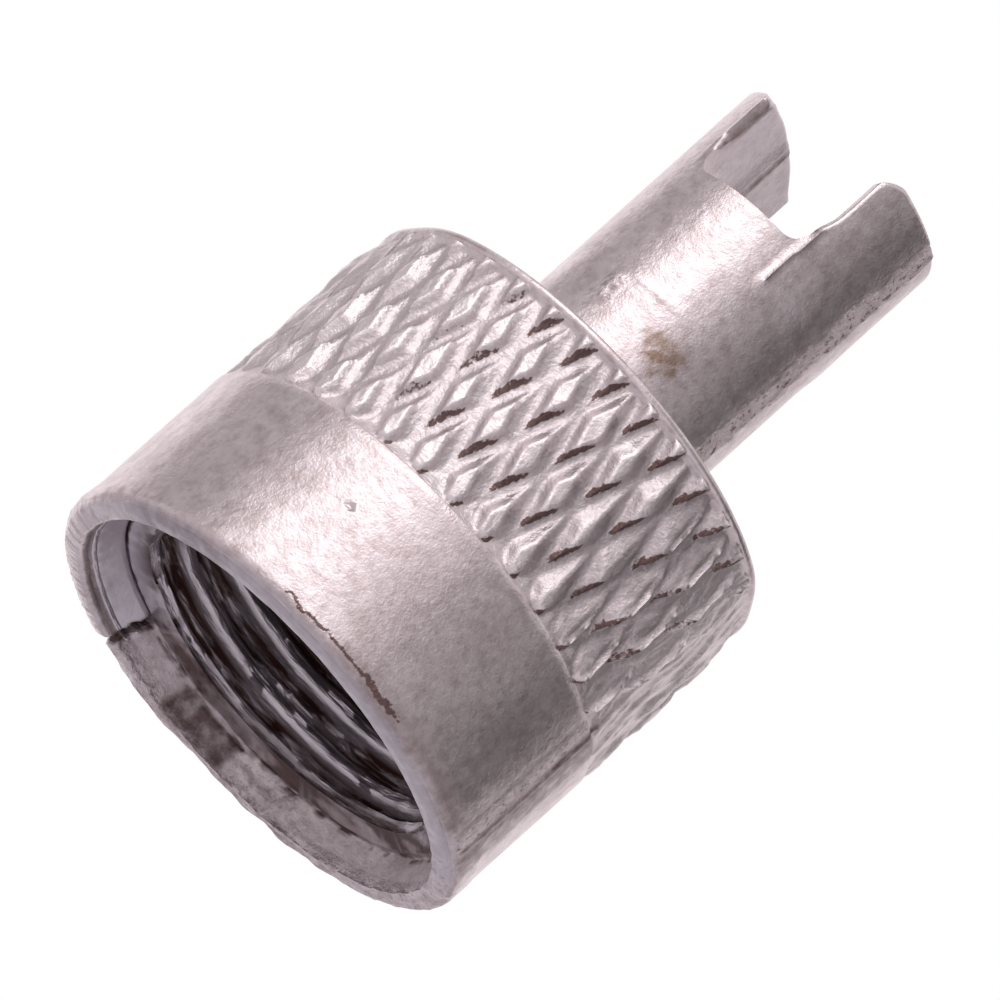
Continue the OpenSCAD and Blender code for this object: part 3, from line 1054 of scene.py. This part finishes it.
    # Brown residue, painted shade and bloom hide the metal
    hidden_metal = math_of("MAXIMUM", times(dirt_and_shade, 0.5), times(mouth_shade, 0.82))
    hidden_metal = math_of("MAXIMUM", hidden_metal, times(marks["dull"], 0.3))
    metallic = math_of("SUBTRACT", 1.0, hidden_metal)
    shader = node(tree, "ShaderNodeBsdfPrincipled", None, {
        "Base Color": colour, "Metallic": metallic, "Roughness": roughness, **below})
    node(tree, "ShaderNodeOutputMaterial", None, {"Surface": shader.outputs[0]})
    return material


def seal_rubber():
    """Black nitrile rubber, compression moulded: dull, with a faint talc bloom."""
    material, tree = new_tree("moulded_nitrile_rubber")
    place = node(tree, "ShaderNodeTexCoord").outputs["Object"]
    bloom = node(tree, "ShaderNodeTexNoise", None, {
        "Vector": place, "Scale": 1 / (0.6 * MM), "Detail": 4.0})
    colour = mix_node(tree, bloom.outputs["Fac"], "#1B1B1C", "#3A3938")
    skin = node(tree, "ShaderNodeTexNoise", None, {
        "Vector": place, "Scale": 1 / (0.08 * MM), "Detail": 2.0})
    bump = node(tree, "ShaderNodeBump", None, {
        "Strength": 0.6, "Distance": 0.01 * MM, "Height": skin.outputs["Fac"]})
    shader = node(tree, "ShaderNodeBsdfPrincipled", None, {
        "Base Color": colour, "Roughness": 0.62, "IOR": 1.52, "Normal": bump.outputs[0]})
    node(tree, "ShaderNodeOutputMaterial", None, {"Surface": shader.outputs[0]})
    return material


# The pieces

def make_cap():
    """The casting, with its marks written before its points are moved."""
    bm = plain_casting()
    mark_surface(bm)
    work_surface(bm)
    cap = piece_from(bm, "cap_casting", [plated_zinc()], sharp=76)
    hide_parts("cap_body")


def make_seal():
    """The rubber ring at the blind end of the hole."""
    ring = piece_from(seal(), "rubber_seal", [seal_rubber()])
    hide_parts("seal_ring")


# The studio

def floor_finish():
    """Matt pale card, which is neither seen from below nor shades what is above it.

    The photograph looks up at the cap. Under the rim only the camera sees the card, so that the rim
    and the mouth still mirror the studio below.
    """
    material, tree = new_tree("matt_pale_card")
    card = node(tree, "ShaderNodeBsdfDiffuse", None, {"Color": "#E6E5E7"})
    clear = node(tree, "ShaderNodeBsdfTransparent")
    below = node(tree, "ShaderNodeNewGeometry").outputs["Backfacing"]
    path = node(tree, "ShaderNodeLightPath")
    place = node(tree, "ShaderNodeTexCoord").outputs["Object"]
    away = node(tree, "ShaderNodeVectorMath", {"operation": "LENGTH"}, {0: place}).outputs["Value"]
    under_rim = math_node(tree, "LESS_THAN", away, 1.01 * SKIRT_R * MM)
    unseen = math_node(tree, "SUBTRACT", under_rim, path.outputs["Is Camera Ray"], True)
    not_there = math_node(tree, "MAXIMUM", below, unseen)
    through = math_node(tree, "MAXIMUM", not_there, path.outputs["Is Shadow Ray"])
    mixed = node(tree, "ShaderNodeMixShader", None, {
        0: through, 1: card.outputs[0], 2: clear.outputs[0]})
    node(tree, "ShaderNodeOutputMaterial", None, {"Surface": mixed.outputs[0]})
    return material


def make_floor():
    """A wide flat ring: it is open under the cap, so that light reaches the mouth from below."""
    bm = bmesh.new()
    for radius in (4.5, 400):
        bmesh.ops.create_circle(bm, cap_ends=False, radius=radius * MM, segments=96)
    bmesh.ops.bridge_loops(bm, edges=bm.edges[:])
    bmesh.ops.recalc_face_normals(bm, faces=bm.faces[:])
    mesh = bpy.data.meshes.new("floor")
    bm.to_mesh(mesh)
    bm.free()
    if mesh.polygons[0].normal.z < 0:
        mesh.flip_normals()
    mesh.materials.append(floor_finish())
    floor = bpy.data.objects.new("floor", mesh)
    bpy.context.scene.collection.objects.link(floor)


# The studio's colours: of its walls where their brightness is 1, of its ceiling, of the table under
# the cap, and of what the camera sees behind it
WALL_HUE = (1.0, 0.935, 0.955)
CEILING = (0.8, 0.76, 0.78, 1)
TABLE = (0.54, 0.515, 0.555, 1)
BACKDROP = (1, 1, 1, 1)
# Brightness of the walls by direction round the axis, in degrees
WALLS = [(-180, 0.45), (-150, 0.44), (-132, 0.67), (-120, 1.05), (-80, 1.15), (-62, 0.86),
         (-48, 0.48), (-30, 0.36), (0, 0.25), (20, 0.12), (33, 0.1), (42, 0.2), (52, 0.42),
         (60, 0.74), (66, 0.76), (74, 0.62), (92, 0.98), (110, 1.12), (155, 1.1), (168, 0.62),
         (180, 0.46)]


def light_the_studio():
    """White behind the object, and a white studio with a dim side for it to reflect."""
    world = bpy.data.worlds.new("studio")
    bpy.context.scene.world = world
    world.use_nodes = True
    tree = world.node_tree
    tree.nodes.clear()
    direction = node(tree, "ShaderNodeTexCoord").outputs["Generated"]
    parts = node(tree, "ShaderNodeSeparateXYZ", None, {0: direction})
    turn = math_node(tree, "ARCTAN2", parts.outputs["Y"], parts.outputs["X"])
    round_share = node(tree, "ShaderNodeMapRange", None, {
        "Value": turn, "From Min": -math.pi, "From Max": math.pi})
    walls = node(tree, "ShaderNodeValToRGB", None, {"Fac": round_share.outputs[0]})
    stops = walls.color_ramp.elements
    while len(stops) < len(WALLS):
        stops.new(0.5)
    for stop, (angle, brightness) in zip(stops, WALLS):
        stop.position = (angle + 180) / 360
        stop.color = (*(brightness * part for part in WALL_HUE), 1)
    up = ramp_node(tree, parts.outputs["Z"], 0.45, 0.95)
    dome = mix_node(tree, up, walls.outputs["Color"], CEILING)
    down = ramp_node(tree, parts.outputs["Z"], -0.12, -0.3)
    table = mix_node(tree, down, dome, TABLE)
    seen_by_camera = node(tree, "ShaderNodeLightPath").outputs["Is Camera Ray"]
    backdrop = mix_node(tree, seen_by_camera, table, BACKDROP)
    shine = node(tree, "ShaderNodeBackground", None, {"Color": backdrop, "Strength": 1.0})
    node(tree, "ShaderNodeOutputWorld", None, {"Surface": shine.outputs[0]})


def direction_of(turn, rise):
    """Unit vector in a direction, given by degrees from the x axis and above the floor."""
    a, e = math.radians(turn), math.radians(rise)
    return Vector((math.cos(e) * math.cos(a), math.cos(e) * math.sin(a), math.sin(e)))


def soft_box(name, turn, rise, away_mm, size_mm, watts):
    """A square soft box that faces the cap from a direction, unseen by the camera."""
    lamp = bpy.data.lights.new(name, "AREA")
    lamp.shape, lamp.size, lamp.energy = "SQUARE", size_mm * MM, watts
    box = bpy.data.objects.new(name, lamp)
    direction = direction_of(turn, rise)
    box.location = (AXIS_POINT + direction * away_mm) * MM
    box.rotation_euler = direction.to_track_quat("Z", "Y").to_euler()
    box.visible_camera = False
    bpy.context.scene.collection.objects.link(box)


def make_camera():
    """A long lens from the photograph's direction, turned so that the cap leans as it does."""
    a, roll = math.radians(CAMERA_TURN), math.radians(PICTURE_ROLL)
    toward = direction_of(CAMERA_TURN, CAMERA_RISE)
    sideways = Vector((-math.sin(a), math.cos(a), 0))
    along = toward.cross(sideways)
    right = math.cos(roll) * along + math.sin(roll) * sideways
    up = math.sin(roll) * along - math.cos(roll) * sideways
    middle = PICTURE_PIXELS / 2
    aim = AXIS_POINT + right * (middle - AXIS_POINT_PIXEL[0]) / PIXELS_PER_MM
    aim += up * (AXIS_POINT_PIXEL[1] - middle) / PIXELS_PER_MM
    lens = bpy.data.cameras.new("camera")
    lens.sensor_width = SENSOR
    lens.lens = SENSOR * CAMERA_AWAY * PIXELS_PER_MM / PICTURE_PIXELS
    lens.clip_start, lens.clip_end = 0.01, 10
    camera = bpy.data.objects.new("camera", lens)
    turned = Matrix((right, up, toward)).transposed().to_4x4()
    camera.matrix_world = Matrix.Translation((aim + toward * CAMERA_AWAY) * MM) @ turned
    bpy.context.scene.collection.objects.link(camera)
    bpy.context.scene.camera = camera


make_cap()
make_seal()
make_floor()
light_the_studio()
soft_box("key_soft_box", -104, 38, 160, 110, 0.045)
make_camera()
bpy.context.scene.view_settings.view_transform = "Standard"
